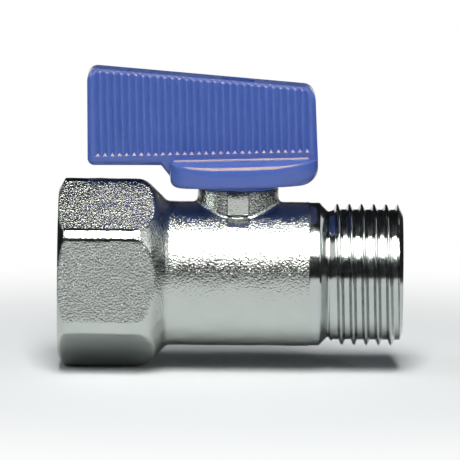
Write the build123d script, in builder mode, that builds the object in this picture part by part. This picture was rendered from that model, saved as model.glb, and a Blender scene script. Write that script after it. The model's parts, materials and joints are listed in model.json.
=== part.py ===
from build123d import *
import os
from math import cos, radians, sin, sqrt, tan

# Mini ball valve: half-inch female by male, with a moulded lever handle.
# X runs along the pipe from the female end to the male end, and Z runs up along the stem.
# The origin is the centre of the female end's face. All sizes are in millimetres.

# Pipe thread, half-inch parallel, kept here as plain walls
thread_major_r = 20.955 / 2
thread_minor_r = 18.631 / 2

# Outside of the forged body
body_length = 51.1
stem_from_male_end = 24.5
hex_across_flats = 25.0
hex_corner_r = 2.2
hex_end_inset = 0.1
hex_end_chamfer_angle = 30
hex_shoulder_from_stem = 10.45
hex_shoulder_blend_r = 4.0
barrel_step = 0.22
band_step = 0.08
band_width = 1.5
male_length = 12.35
relief_width = 0.5
male_lead = 1.2
boss_r = 6.0
boss_foot_r = 0.9
boss_rim = 0.25
rib_width = 3.0
rib_rise = 0.6
rib_length = 2.75

# Waterway, ball and seats
waterway_r = 4.25
outlet_r = 5.75
outlet_depth = 10.5
ball_r = 7.25
cavity_gap = 0.35
ball_slot_width = 3.1
ball_slot_roof = 0.95
seat_gap = 0.05
seat_inner_step = 0.25
seat_land = 1.3
seat_rim = 1.0
seat_length = 2.5
seat_proud = 0.9

# Female end and the retainer that holds the seats
female_run_out = 1.47
mouth_chamfer = 0.9
retainer_bore_step = 0.37
retainer_gap = 0.05
retainer_length = 6.8
retainer_chamfer = 0.5
retainer_key_across_flats = 10.0
retainer_key_depth = 3.0

# Stem, from the ball upwards
stem_r = 3.0
stem_running_gap = 0.03
tang_gap = 0.05
tang_floor_gap = 0.1
tang_r = 3.3
stem_collar_gap = 0.25
stem_collar_r = 4.0
stem_collar_height = 0.7
stem_collar_clearance = 0.15
washer_thickness = 0.37
washer_gap = 0.03
washer_bore_gap = 0.05
stem_bore_length = 4.25
o_ring_radial = 0.91
o_ring_axial = 1.24
o_ring_flat = 0.6
o_ring_floor_gap = 0.02
o_ring_side_gap = 0.08
lower_groove_land = 0.35
upper_groove_land = 0.55
stem_shoulder_rise = 1.55
drive_across_flats = 4.4
drive_length = 4.6
drive_gap = 0.05
stem_tip_chamfer = 0.3
screw_hole_depth = 5.4

# Quarter-turn stop on the boss
stop_inner_r = 3.6
stop_radial = 1.2
stop_rise = 1.15
stop_gap = 0.1
stop_swing_gap = 0.22

# Handle screw
screw_r = 1.2
screw_hole_gap = 0.05
screw_length = 6.0
screw_head_r = 2.25
screw_head_height = 1.9
screw_slot_width = 0.7
screw_slot_depth = 0.9
screw_head_edge = 0.3

# Handle, drawn about the stem axis: along runs towards the nose, up runs away from the pipe.
# It sits with its nose a little high.
handle_lean = 1.7
handle_gap = 0.2
hub_collar_r = 6.1
hub_collar_drop = 0.45
hub_recess_gap = 0.25
web_gap = 0.2
web_thickness = 1.4
web_hole_gap = 0.45
screw_head_gap = 0.2
skirt_tail = 10.1
skirt_nose = 11.9
skirt_height = 3.65
skirt_half_width = 7.8
skirt_tail_half_width = 6.9
skirt_nose_half_width = 6.4
skirt_corner_r = 2.4
skirt_low_corner_r = 1.3
skirt_low_nose_r = 2.6
skirt_round_r = 1.9
grip_foot_height = 0.27
grip_foot_spread = 0.16
grip_foot_tail_gap = 0.6
grip_foot_nose_gap = 1.4
grip_tail = 22.25
grip_draft = 1.0
grip_thickness = 7.2
grip_height_at_stem = 15.53
grip_top_slope = 6.27
grip_bevel = 0.5
arm_underside_at_tail = 3.5
arm_underside_at_skirt = 3.25
arm_gusset_length = 1.25
arm_gusset_height = 1.65
tail_low_corner_r = 1.0
tail_top_corner_r = 2.0
nose_top_corner_r = 1.9
core_width = 3.2
core_wall = 1.5
groove_count = 30
groove_pitch = 1.068
groove_first = -20.66
groove_foot = 4.8
groove_width = 0.84
groove_depth = 0.3
groove_end_slope = 31

# Heights and places worked out from the sizes above
hex_corner_reach = hex_across_flats / 2 / cos(radians(30)) - hex_corner_r * (1 / cos(radians(30)) - 1)
hex_end_r = hex_across_flats / 2 - hex_end_inset
stem_x = body_length - stem_from_male_end
hex_shoulder_x = stem_x - hex_shoulder_from_stem
hex_end_chamfer = (hex_corner_reach - hex_end_r) * tan(radians(hex_end_chamfer_angle))
barrel_r = thread_major_r + barrel_step
hex_cone_start = hex_shoulder_x - (hex_corner_reach - barrel_r)
band_end = body_length - male_length
band_r = barrel_r - band_step
relief_start = band_end + band_r - thread_minor_r
relief_end = relief_start + relief_width
thread_start = relief_end + (thread_major_r - thread_minor_r) / 2
male_lead_start = body_length - male_lead

ball_seat_r = ball_r + seat_gap
cavity_r = ball_r + cavity_gap
seat_inner_r = waterway_r + seat_inner_step
seat_land_r = seat_inner_r + seat_land
seat_outer_r = seat_land_r + seat_rim
seat_pocket_r = seat_outer_r + seat_gap
seat_front = sqrt(ball_seat_r**2 - seat_land_r**2)
seat_back = seat_front + seat_length
retainer_bore_r = thread_minor_r - retainer_bore_step
retainer_r = retainer_bore_r - retainer_gap
retainer_face_x = stem_x - seat_front - seat_proud
retainer_end_x = retainer_face_x - retainer_length
female_depth = retainer_end_x - female_run_out
outlet_x = body_length - outlet_depth

ball_slot_floor = waterway_r + ball_slot_roof
collar_bottom = ball_r + stem_collar_gap
collar_top = collar_bottom + stem_collar_height
shoulder_z = collar_top + washer_thickness + washer_gap
boss_top = shoulder_z + stem_bore_length
groove_height = o_ring_axial + 2 * o_ring_side_gap
groove_floor_r = stem_r - o_ring_radial - 2 * o_ring_floor_gap
lower_ring_z = shoulder_z + lower_groove_land + groove_height / 2
upper_ring_z = boss_top - upper_groove_land - groove_height / 2
drive_floor = boss_top + stem_shoulder_rise
stem_top = drive_floor + drive_length
web_bottom = stem_top + web_gap
web_top = web_bottom + web_thickness
screw_hole_r = screw_r + screw_hole_gap

hub_base = boss_top + handle_gap
skirt_z = hub_base + hub_collar_drop
lean = radians(handle_lean)
along = Vector(cos(lean), 0, sin(lean))
upward = Vector(-sin(lean), 0, cos(lean))
handle_origin = Vector(stem_x, 0, skirt_z)
handle_side = Plane(origin=handle_origin, x_dir=along, z_dir=(0, -1, 0))
handle_plan = Plane(origin=handle_origin, x_dir=along, z_dir=upward)
handle_section = Plane(origin=handle_origin, x_dir=(0, 1, 0), z_dir=along)


def grip_top(distance):
    """Height of the grip's sloping top edge above the skirt, at a distance from the stem axis."""
    return grip_height_at_stem - distance * tan(radians(grip_top_slope))


# Valve body: the turned form, the hexagon, the boss with its rib, then everything bored out
with BuildPart() as valve_body:
    with BuildSketch(Plane.XZ) as turned_outline:
        with BuildLine():
            Polyline(
                (0, 0),
                (0, hex_end_r),
                (hex_end_chamfer, hex_corner_reach),
                (hex_cone_start, hex_corner_reach),
                (hex_shoulder_x, barrel_r),
                (band_end - band_width, barrel_r),
                (band_end - band_width, band_r),
                (band_end, band_r),
                (relief_start, thread_minor_r),
                (relief_end, thread_minor_r),
                (thread_start, thread_major_r),
                (male_lead_start, thread_major_r),
                (body_length, thread_major_r - male_lead),
                (body_length, 0),
                close=True,
            )
        make_face()
        cone_top = turned_outline.vertices().sort_by_distance((hex_cone_start, hex_corner_reach))[0]
        fillet(cone_top, hex_shoulder_blend_r)
    revolve(axis=Axis.X)
    with BuildSketch(Plane.YZ) as hexagon_waste:
        Circle(hex_across_flats)
        RegularPolygon(hex_across_flats / 2, 6, major_radius=False, rotation=30, mode=Mode.SUBTRACT)
        fillet(hexagon_waste.vertices().sort_by(SortBy.DISTANCE)[:6], hex_corner_r)
    extrude(amount=hex_shoulder_x, mode=Mode.SUBTRACT)
    with BuildSketch(Plane.XY) as boss_outline:
        with Locations((stem_x, 0)):
            Circle(boss_r)
    extrude(amount=boss_top)
    boss_foot = (
        valve_body.edges()
        .filter_by_position(Axis.X, stem_x - boss_r - boss_foot_r, stem_x + boss_r + boss_foot_r)
        .filter_by_position(Axis.Z, barrel_r / 2, barrel_r)
        .filter_by(GeomType.LINE, reverse=True)
    )
    fillet(boss_foot, boss_foot_r)
    chamfer(valve_body.faces().filter_by(Axis.Z).sort_by(Axis.Z)[-1].edges(), boss_rim)
    with BuildSketch(Plane.XY.offset(boss_top - boss_rim - rib_length)) as rib_outline:
        with Locations((stem_x, 0)):
            Rectangle(rib_width, boss_r + rib_rise, align=(Align.CENTER, Align.MAX))
    extrude(amount=rib_length)
    with BuildSketch(Plane.XY) as stop_outline:
        with Locations((stem_x, -stop_inner_r)):
            Rectangle(rib_width, stop_radial, align=(Align.CENTER, Align.MAX))
    extrude(amount=boss_top + stop_rise)
    with BuildSketch(Plane.XZ) as waterway_outline:
        with BuildLine():
            Polyline(
                (0, 0),
                (0, thread_minor_r + mouth_chamfer),
                (mouth_chamfer, thread_minor_r),
                (female_depth, thread_minor_r),
                (female_depth, retainer_bore_r),
                (retainer_face_x, retainer_bore_r),
                (retainer_face_x, cavity_r),
                (stem_x + seat_front, cavity_r),
                (stem_x + seat_front, seat_pocket_r),
                (stem_x + seat_back, seat_pocket_r),
                (stem_x + seat_back, waterway_r),
                (outlet_x - (outlet_r - waterway_r), waterway_r),
                (outlet_x, outlet_r),
                (body_length, outlet_r),
                (body_length, 0),
                close=True,
            )
        make_face()
    revolve(axis=Axis.X, mode=Mode.SUBTRACT)
    with BuildSketch(Plane.XY) as stem_bore:
        with Locations((stem_x, 0)):
            Circle(stem_r + stem_running_gap)
    extrude(amount=boss_top, mode=Mode.SUBTRACT)
    with BuildSketch(Plane.XY) as collar_bore:
        with Locations((stem_x, 0)):
            Circle(stem_collar_r + stem_collar_clearance)
    extrude(amount=shoulder_z, mode=Mode.SUBTRACT)

# Ball: waterway through it, and a slot across its top for the stem's tang
with BuildPart() as ball:
    with Locations((stem_x, 0, 0)):
        Sphere(ball_r)
    with BuildSketch(Plane.YZ.offset(stem_x)):
        Circle(waterway_r)
    extrude(amount=ball_r, both=True, mode=Mode.SUBTRACT)
    with Locations((stem_x, 0, ball_slot_floor)):
        Box(
            ball_slot_width,
            2 * ball_r,
            ball_r,
            align=(Align.CENTER, Align.CENTER, Align.MIN),
            mode=Mode.SUBTRACT,
        )


def seat_ring(side):
    """Seat on the inlet side (-1) or the outlet side (1): a ring hollowed to the ball's sphere."""
    with BuildPart() as ring:
        with BuildSketch(Plane.XZ):
            with Locations((stem_x + side * (seat_front + seat_back) / 2, seat_inner_r)):
                Rectangle(seat_length, seat_outer_r - seat_inner_r, align=(Align.CENTER, Align.MIN))
            with Locations((stem_x, 0)):
                Circle(ball_seat_r, mode=Mode.SUBTRACT)
        revolve(axis=Axis.X)
    return ring.part


inlet_seat = seat_ring(-1)
outlet_seat = seat_ring(1)

# Retainer: screwed in behind the female thread, with a hexagon for its key
with BuildPart() as seat_retainer:
    with BuildSketch(Plane.XZ) as retainer_outline:
        with BuildLine():
            Polyline(
                (retainer_end_x, waterway_r),
                (retainer_end_x, retainer_r),
                (retainer_face_x, retainer_r),
                (retainer_face_x, seat_pocket_r),
                (stem_x - seat_back, seat_pocket_r),
                (stem_x - seat_back, waterway_r),
                close=True,
            )
        make_face()
        chamfer(retainer_outline.vertices().group_by(Axis.Y)[-1], retainer_chamfer)
    revolve(axis=Axis.X)
    with BuildSketch(Plane.YZ.offset(retainer_end_x)):
        RegularPolygon(retainer_key_across_flats / 2, 6, major_radius=False)
    extrude(amount=retainer_key_depth, mode=Mode.SUBTRACT)

# Stem: turned, with a collar inside the body, two ring grooves, a tang below and two flats above
with BuildPart() as stem:
    with BuildSketch(Plane.XZ) as stem_outline:
        with Locations((stem_x, collar_bottom)):
            Rectangle(stem_collar_r, stem_collar_height, align=(Align.MIN, Align.MIN))
            Rectangle(stem_r, stem_top - collar_bottom, align=(Align.MIN, Align.MIN))
        with Locations((stem_x, ball_slot_floor + tang_floor_gap)):
            Rectangle(
                tang_r, collar_bottom - ball_slot_floor - tang_floor_gap, align=(Align.MIN, Align.MIN)
            )
        with Locations((stem_x + groove_floor_r, lower_ring_z), (stem_x + groove_floor_r, upper_ring_z)):
            Rectangle(stem_r, groove_height, align=(Align.MIN, Align.CENTER), mode=Mode.SUBTRACT)
    revolve(axis=Axis((stem_x, 0, 0), (0, 0, 1)))
    chamfer(stem.faces().sort_by(Axis.Z)[-1].edges(), stem_tip_chamfer)
    tang_waste = tang_r - ball_slot_width / 2 + tang_gap
    with BuildSketch(Plane.XY) as tang_sides:
        with Locations((stem_x - tang_r, 0)):
            Rectangle(tang_waste, 2 * tang_r, align=(Align.MIN, Align.CENTER))
        with Locations((stem_x + tang_r, 0)):
            Rectangle(tang_waste, 2 * tang_r, align=(Align.MAX, Align.CENTER))
    extrude(amount=collar_bottom, mode=Mode.SUBTRACT)
    with BuildSketch(Plane.XY.offset(drive_floor)) as drive_sides:
        with Locations((stem_x, drive_across_flats / 2)):
            Rectangle(2 * stem_r, stem_r, align=(Align.CENTER, Align.MIN))
        with Locations((stem_x, -drive_across_flats / 2)):
            Rectangle(2 * stem_r, stem_r, align=(Align.CENTER, Align.MAX))
    extrude(amount=drive_length, mode=Mode.SUBTRACT)
    with BuildSketch(Plane.XY.offset(stem_top)) as screw_hole:
        with Locations((stem_x, 0)):
            Circle(screw_hole_r)
    extrude(amount=-screw_hole_depth, mode=Mode.SUBTRACT)

# Washer between the stem's collar and the body
with BuildPart() as stem_thrust_washer:
    with BuildSketch(Plane.XY.offset(collar_top)):
        with Locations((stem_x, 0)):
            Circle(stem_collar_r)
            Circle(stem_r + washer_bore_gap, mode=Mode.SUBTRACT)
    extrude(amount=washer_thickness)


def stem_o_ring(height):
    """Rubber ring in a stem groove, pressed flat between the groove's floor and the bore."""
    ring_inner_x = stem_x + groove_floor_r + o_ring_floor_gap
    with BuildPart() as ring:
        with BuildSketch(Plane.XZ):
            with BuildLine():
                Polyline(
                    (ring_inner_x, height - o_ring_flat / 2),
                    (ring_inner_x, height + o_ring_flat / 2),
                    (ring_inner_x + o_ring_radial / 2, height + o_ring_axial / 2),
                    (ring_inner_x + o_ring_radial, height + o_ring_flat / 2),
                    (ring_inner_x + o_ring_radial, height - o_ring_flat / 2),
                    (ring_inner_x + o_ring_radial / 2, height - o_ring_axial / 2),
                    close=True,
                )
            make_face()
        revolve(axis=Axis((stem_x, 0, 0), (0, 0, 1)))
    return ring.part


stem_lower_o_ring = stem_o_ring(lower_ring_z)
stem_upper_o_ring = stem_o_ring(upper_ring_z)

# Skirt of the handle: bowed in plan, its sides rounded over into the ledge at its top, its low corners round
with BuildPart() as skirt:
    with BuildSketch(handle_plan) as skirt_outline:
        with BuildLine():
            far_side = ThreePointArc(
                (-skirt_tail, skirt_tail_half_width),
                ((skirt_nose - skirt_tail) / 2, skirt_half_width),
                (skirt_nose, skirt_nose_half_width),
            )
            near_side = ThreePointArc(
                (-skirt_tail, -skirt_tail_half_width),
                ((skirt_nose - skirt_tail) / 2, -skirt_half_width),
                (skirt_nose, -skirt_nose_half_width),
            )
            Line(far_side @ 0, near_side @ 0)
            Line(far_side @ 1, near_side @ 1)
        make_face()
        fillet(skirt_outline.vertices(), skirt_corner_r)
    extrude(amount=skirt_height)
    with BuildSketch(handle_section) as skirt_end_view:
        Rectangle(2 * skirt_half_width, 2 * skirt_height)
        fillet(skirt_end_view.vertices().group_by(Axis.Z)[-1], skirt_round_r)
    extrude(amount=skirt_tail + skirt_nose, both=True, mode=Mode.INTERSECT)
    with BuildSketch(handle_side) as skirt_side_view:
        with BuildLine():
            Polyline(
                (-skirt_tail, 0),
                (skirt_nose, 0),
                (skirt_nose, skirt_height),
                (-skirt_tail, skirt_height),
                close=True,
            )
        make_face()
        low_tail = skirt_side_view.vertices().sort_by_distance((-skirt_tail, 0))[0]
        fillet(low_tail, skirt_low_corner_r)
        low_nose = skirt_side_view.vertices().sort_by_distance((skirt_nose, 0))[0]
        fillet(low_nose, skirt_low_nose_r)
    extrude(amount=2 * skirt_half_width, both=True, mode=Mode.INTERSECT)

# Grip of the handle: a flat blade with a sloping top, drafted ends and a bevel all round
grip_base = arm_underside_at_skirt - arm_gusset_height
tail_top = -grip_tail + (grip_top(-grip_tail) - arm_underside_at_tail) * tan(radians(grip_draft))
nose_top = skirt_nose - (grip_top(skirt_nose) - skirt_low_nose_r) * tan(radians(grip_draft))
with BuildPart() as grip:
    with BuildSketch(handle_side) as grip_outline:
        with BuildLine():
            Polyline(
                (-grip_tail, arm_underside_at_tail),
                (-skirt_tail - arm_gusset_length, arm_underside_at_skirt),
                (-skirt_tail, grip_base),
                (skirt_nose, skirt_low_nose_r),
                (nose_top, grip_top(nose_top)),
                (tail_top, grip_top(tail_top)),
                close=True,
            )
        make_face()
        for corner, corner_r in (
            ((-grip_tail, arm_underside_at_tail), tail_low_corner_r),
            ((tail_top, grip_top(tail_top)), tail_top_corner_r),
            ((nose_top, grip_top(nose_top)), nose_top_corner_r),
        ):
            fillet(grip_outline.vertices().sort_by_distance(corner)[0], corner_r)
    extrude(amount=grip_thickness / 2, both=True)
    chamfer(grip.faces().filter_by(Axis.Y).edges(), grip_bevel)

# One V-groove of the grip's near face: closed by a slope at its foot, open at the grip's top
with BuildPart() as grip_groove:
    groove_reach = grip_top(-grip_tail)
    with BuildSketch(handle_plan.offset(groove_foot)):
        with BuildLine():
            Polyline(
                (groove_first, groove_depth - grip_thickness / 2),
                (groove_first - groove_width, -groove_depth - grip_thickness / 2),
                (groove_first + groove_width, -groove_depth - grip_thickness / 2),
                close=True,
            )
        make_face()
    extrude(amount=groove_reach)
    groove_run_out = groove_depth / tan(radians(groove_end_slope))
    with BuildSketch(handle_section) as groove_side_view:
        with BuildLine():
            Polyline(
                (-grip_thickness / 2 - groove_depth, groove_foot - groove_run_out),
                (-grip_thickness / 2 + groove_depth, groove_foot + groove_run_out),
                (-grip_thickness / 2 + groove_depth, groove_foot + groove_reach),
                (-grip_thickness / 2 - groove_depth, groove_foot + groove_reach),
                close=True,
            )
        make_face()
    extrude(amount=grip_tail + skirt_nose, both=True, mode=Mode.INTERSECT)

# Handle: grip and skirt in one moulding, with its core, its hub and the screw's way in
with BuildPart() as lever_handle:
    add(grip.part)
    add(skirt.part)
    with BuildSketch(handle_section.offset(grip_foot_tail_gap - skirt_tail)) as grip_foot:
        foot_half_width = grip_thickness / 2 + grip_foot_spread
        with BuildLine():
            Polyline(
                (-foot_half_width, skirt_height - grip_foot_height),
                (-foot_half_width, skirt_height),
                (-grip_thickness / 2, skirt_height + grip_foot_height),
                (grip_thickness / 2, skirt_height + grip_foot_height),
                (foot_half_width, skirt_height),
                (foot_half_width, skirt_height - grip_foot_height),
                close=True,
            )
        make_face()
    extrude(amount=skirt_tail + skirt_nose - grip_foot_tail_gap - grip_foot_nose_gap)
    with BuildSketch(Plane.XY.offset(hub_base)) as hub_collar:
        with Locations((stem_x, 0)):
            Circle(hub_collar_r)
    extrude(amount=2 * hub_collar_drop)
    with BuildSketch(handle_side) as core:
        core_tail = -grip_tail + core_wall
        core_nose = -skirt_tail - arm_gusset_length - core_wall / 2
        with BuildLine():
            Polyline(
                (core_tail, 0),
                (core_nose, 0),
                (core_nose, grip_top(core_nose) - core_wall - grip_bevel),
                (core_tail, grip_top(core_tail) - core_wall - grip_bevel),
                close=True,
            )
        make_face()
    extrude(amount=core_width / 2, both=True, mode=Mode.SUBTRACT)
    for direction in (1, -1):
        with Locations(*[along * (number * groove_pitch) for number in range(groove_count)]):
            if direction == 1:
                add(grip_groove.part, mode=Mode.SUBTRACT)
            else:
                add(grip_groove.part.mirror(Plane.XZ), mode=Mode.SUBTRACT)
    with BuildSketch(Plane.XY.offset(hub_base)) as hub_recess:
        stop_reach = stop_inner_r + stop_radial
        stop_swing_r = sqrt(stop_reach**2 + (rib_width / 2) ** 2) + stop_swing_gap
        stop_wall = rib_width / 2 + stop_gap
        with Locations((stem_x, 0)):
            Circle(stop_swing_r)
        with Locations((stem_x - stop_wall, stop_wall)):
            Rectangle(
                2 * stop_swing_r,
                2 * stop_swing_r,
                align=(Align.MIN, Align.MAX),
                mode=Mode.INTERSECT,
            )
        with Locations((stem_x, 0)):
            Circle(stem_r + hub_recess_gap)
    extrude(amount=drive_floor - hub_base, mode=Mode.SUBTRACT)
    with BuildSketch(Plane.XY.offset(drive_floor)) as drive_socket:
        with Locations((stem_x, 0)):
            Circle(stem_r + drive_gap)
            Rectangle(
                2 * (stem_r + drive_gap), drive_across_flats + 2 * drive_gap, mode=Mode.INTERSECT
            )
    extrude(amount=web_bottom - drive_floor, mode=Mode.SUBTRACT)
    with BuildSketch(Plane.XY.offset(web_bottom)) as web_hole:
        with Locations((stem_x, 0)):
            Circle(screw_r + web_hole_gap)
    extrude(amount=web_thickness, mode=Mode.SUBTRACT)
    with BuildSketch(Plane.XY.offset(web_top)) as screw_way:
        with Locations((stem_x, 0)):
            Circle(screw_head_r + screw_head_gap)
    extrude(amount=grip_height_at_stem, mode=Mode.SUBTRACT)

# Screw that holds the handle down on the stem
with BuildPart() as handle_screw:
    with BuildSketch(Plane.XY.offset(web_top)):
        with Locations((stem_x, 0)):
            Circle(screw_head_r)
    extrude(amount=screw_head_height)
    chamfer(handle_screw.faces().sort_by(Axis.Z)[-1].edges(), screw_head_edge)
    with BuildSketch(Plane.XY.offset(web_top + screw_head_height)):
        with Locations((stem_x, 0)):
            Rectangle(2 * screw_head_r, screw_slot_width)
    extrude(amount=-screw_slot_depth, mode=Mode.SUBTRACT)
    with BuildSketch(Plane.XY.offset(web_top)):
        with Locations((stem_x, 0)):
            Circle(screw_r)
    extrude(amount=-screw_length)

os.makedirs("parts", exist_ok=True)
for name, piece in (
    ("valve_body", valve_body.part),
    ("seat_retainer", seat_retainer.part),
    ("ball", ball.part),
    ("inlet_seat", inlet_seat),
    ("outlet_seat", outlet_seat),
    ("stem", stem.part),
    ("stem_thrust_washer", stem_thrust_washer.part),
    ("stem_lower_o_ring", stem_lower_o_ring),
    ("stem_upper_o_ring", stem_upper_o_ring),
    ("lever_handle", lever_handle.part),
    ("handle_screw", handle_screw.part),
):
    piece.label = name
    export_step(piece, f"parts/{name}.step")
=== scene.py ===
# %% [markdown]
# # A mini ball valve, dressed around its CAD frame
#
# The valve is a blasted and nickel-plated brass forging with a hexagon socket on the left, a round
# barrel, a boss for the stem, and a male pipe thread on the right. A blue moulded handle turns the ball
# inside. The CAD frame gives every piece its place. Here the body and the handle are drawn again as
# surfaces, because the real ones have threads, soft forged edges and rounded mould lines that the plain
# solids leave out.

import json
import math

import bmesh
import bpy
import numpy as np
from mathutils import Matrix, Vector


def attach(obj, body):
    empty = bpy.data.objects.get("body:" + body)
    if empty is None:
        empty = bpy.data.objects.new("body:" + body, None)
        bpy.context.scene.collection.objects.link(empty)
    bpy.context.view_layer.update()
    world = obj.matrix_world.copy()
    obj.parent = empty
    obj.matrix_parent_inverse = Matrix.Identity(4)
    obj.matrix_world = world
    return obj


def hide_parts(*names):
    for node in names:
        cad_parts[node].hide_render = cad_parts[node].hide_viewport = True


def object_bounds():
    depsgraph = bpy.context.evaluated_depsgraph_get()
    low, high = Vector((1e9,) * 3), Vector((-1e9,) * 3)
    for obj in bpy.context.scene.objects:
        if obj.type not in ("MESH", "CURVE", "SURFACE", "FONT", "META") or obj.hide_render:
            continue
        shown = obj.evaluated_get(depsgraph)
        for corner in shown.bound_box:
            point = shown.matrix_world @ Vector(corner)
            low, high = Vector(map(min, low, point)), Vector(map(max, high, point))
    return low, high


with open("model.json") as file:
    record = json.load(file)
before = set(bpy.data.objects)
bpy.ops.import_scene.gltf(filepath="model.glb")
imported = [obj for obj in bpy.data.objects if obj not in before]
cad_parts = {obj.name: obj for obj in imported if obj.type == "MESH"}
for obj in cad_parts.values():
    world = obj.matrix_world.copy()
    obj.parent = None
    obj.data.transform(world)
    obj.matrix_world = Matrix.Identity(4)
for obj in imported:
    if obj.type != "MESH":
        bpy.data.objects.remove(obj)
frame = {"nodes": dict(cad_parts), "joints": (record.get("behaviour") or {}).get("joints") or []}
cad_low, cad_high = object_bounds()
nodes = frame["nodes"]
MM = 0.001
stem_x = frame["joints"][0]["pos_m"][0] / MM
print("CAD box in mm", [round(v / MM, 2) for v in (*cad_low, *cad_high)], "stem at x", round(stem_x, 2))

# %% [markdown]
# ## Helpers for surfaces
#
# Every new piece is a grid of points worked out with whole arrays. A grid could be made by extruding and
# bevelling by hand, but a formula keeps threads and grooves exact. These helpers turn numbered points
# into faces, and round off the crease where two surfaces cross, as blasting and moulding do on the real
# thing.


# %% Soft creases
def soft_min(first, second, width):
    """The smaller of two values. Where they differ by less than the width, a parabola joins them."""
    share = np.clip(0.5 + 0.5 * (second - first) / width, 0, 1)
    return second * (1 - share) + first * share - width * share * (1 - share)


def soft_max(first, second, width):
    """The larger of two values, joined in the same way."""
    return -soft_min(-first, -second, width)


def smooth_step(low, high, value):
    """0 below low, 1 above high, and an S-curve between them."""
    share = np.clip((value - low) / (high - low), 0, 1)
    return share * share * (3 - 2 * share)


print("two equal heights meet", round(1 - float(soft_min(1.0, 1.0, 0.4)), 3), "below their crease")


# %% Grids and pieces
def grid_quads(number, wrap_rows=False, wrap_columns=False):
    """Quads between neighbours of a table of point numbers. Wrapping joins the last ones to the first."""
    if wrap_rows:
        number = np.vstack([number, number[:1]])
    if wrap_columns:
        number = np.hstack([number, number[:, :1]])
    corners = (number[:-1, :-1], number[1:, :-1], number[1:, 1:], number[:-1, 1:])
    return np.stack(corners, axis=-1)


def mesh_piece(name, points, face_groups, materials, material_of=None):
    """An object from points in millimetres and arrays of faces, each with a fixed number of corners."""
    mesh = bpy.data.meshes.new(name)
    groups = [np.asarray(group, dtype=np.int32).reshape(len(group), -1) for group in face_groups]
    sizes = np.concatenate([np.full(len(group), group.shape[1]) for group in groups])
    mesh.vertices.add(len(points))
    mesh.vertices.foreach_set("co", np.ascontiguousarray(points * MM, dtype=np.float32).ravel())
    mesh.loops.add(int(sizes.sum()))
    mesh.loops.foreach_set("vertex_index", np.concatenate([group.ravel() for group in groups]))
    mesh.polygons.add(len(sizes))
    mesh.polygons.foreach_set("loop_start", (np.cumsum(sizes) - sizes).astype(np.int32))
    if material_of is not None:
        mesh.polygons.foreach_set("material_index", material_of.astype(np.int32))
    mesh.update(calc_edges=True)
    mesh.validate()
    piece = bpy.data.objects.new(name, mesh)
    bpy.context.scene.collection.objects.link(piece)
    for material in materials:
        mesh.materials.append(material)
    return piece


def face_outwards(piece, crease_angle):
    """Turns a closed shell's faces outwards and shades it smooth, but for edges sharper than the angle."""
    shell = bmesh.new()
    shell.from_mesh(piece.data)
    bmesh.ops.recalc_face_normals(shell, faces=shell.faces)
    open_edges = sum(1 for edge in shell.edges if len(edge.link_faces) != 2)
    shell.to_mesh(piece.data)
    shell.free()
    piece.data.shade_smooth()
    piece.data.set_sharp_from_angle(angle=math.radians(crease_angle))
    points, faces = len(piece.data.vertices), len(piece.data.polygons)
    print(piece.name, points, "points", faces, "faces", open_edges, "open edges")


two_loops = np.arange(8).reshape(2, 4)
print("two loops of four points give", grid_quads(two_loops, wrap_columns=True).size // 4, "quads")

# %% [markdown]
# ## Camera
#
# The photograph was taken from about 1.2 m with a long lens, a few degrees above the pipe axis, and the
# pipe runs down to the right by half a degree. A camera built from its own three axes can carry that
# small roll exactly.

# %% Place the camera
CAMERA_DISTANCE = 1200.0
CAMERA_ELEVATION = 6.7
CAMERA_ROLL = 0.5
FRAME_WIDTH = 68.36
SENSOR_WIDTH = 36
aim = np.array([25.43, 0.0, 6.47])

rise = math.radians(CAMERA_ELEVATION)
roll = math.radians(CAMERA_ROLL)
backward = np.array([0, -math.cos(rise), math.sin(rise)])
level_right = np.array([1.0, 0, 0])
level_up = np.cross(backward, level_right)
right = level_right * math.cos(roll) + level_up * math.sin(roll)
up = level_up * math.cos(roll) - level_right * math.sin(roll)
place = (aim + backward * CAMERA_DISTANCE) * MM
camera_data = bpy.data.cameras.new("camera")
camera_data.sensor_width = SENSOR_WIDTH
camera_data.lens = SENSOR_WIDTH * CAMERA_DISTANCE / FRAME_WIDTH
camera_data.clip_start = 0.01
camera_data.clip_end = 20
camera = bpy.data.objects.new("camera", camera_data)
axes = np.column_stack([right, up, backward])
camera.matrix_world = Matrix([[*axes[row], place[row]] for row in range(3)] + [[0, 0, 0, 1]])
bpy.context.scene.collection.objects.link(camera)
bpy.context.scene.camera = camera
print("camera at", [round(v, 4) for v in place], "lens", round(camera_data.lens, 1))

# %% [markdown]
# ## Studio
#
# A tall softbox stands high in front of the valve. It gives the broad white band along the barrel, and
# weaker lights to the left and right pick out edges. Sun lamps would be simpler, but polished metal shows
# the shape of whatever lights it, so area lights of a real size are used.


# %% Softboxes
def soft_box(name, place_mm, aim_mm, size_mm, power, tint):
    """A rectangular area light at a place, turned to face a point, in millimetres and watts."""
    data = bpy.data.lights.new(name, "AREA")
    data.shape = "RECTANGLE"
    data.size, data.size_y = size_mm[0] * MM, size_mm[1] * MM
    data.energy = power
    data.color = tint
    lamp = bpy.data.objects.new(name, data)
    reach = Vector(aim_mm) - Vector(place_mm)
    lamp.matrix_world = Matrix.LocRotScale(Vector(place_mm) * MM, reach.to_track_quat("-Z", "Y"), None)
    bpy.context.scene.collection.objects.link(lamp)
    return lamp


soft_box("softbox_front", (26, -569, 876), (26, 0, 0), (360, 719), 12.8, (1.0, 0.98, 0.95))
soft_box("softbox_left", (-780, -120, 560), (26, 0, 10), (300, 300), 1.0, (0.96, 0.98, 1.0))
soft_box("softbox_right", (900, -500, 420), (26, 0, 0), (300, 300), 0.8, (0.95, 0.98, 1.0))
print("softboxes", len(bpy.data.lights))

# %% [markdown]
# ## Studio: the floor
#
# The floor is pale and takes the valve's shadow. Far from the valve it turns to plain white for the
# camera and for reflections, so that it meets the white background with no edge. A backdrop curve could
# do that too, but it would show in the metal from other sides.


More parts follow.
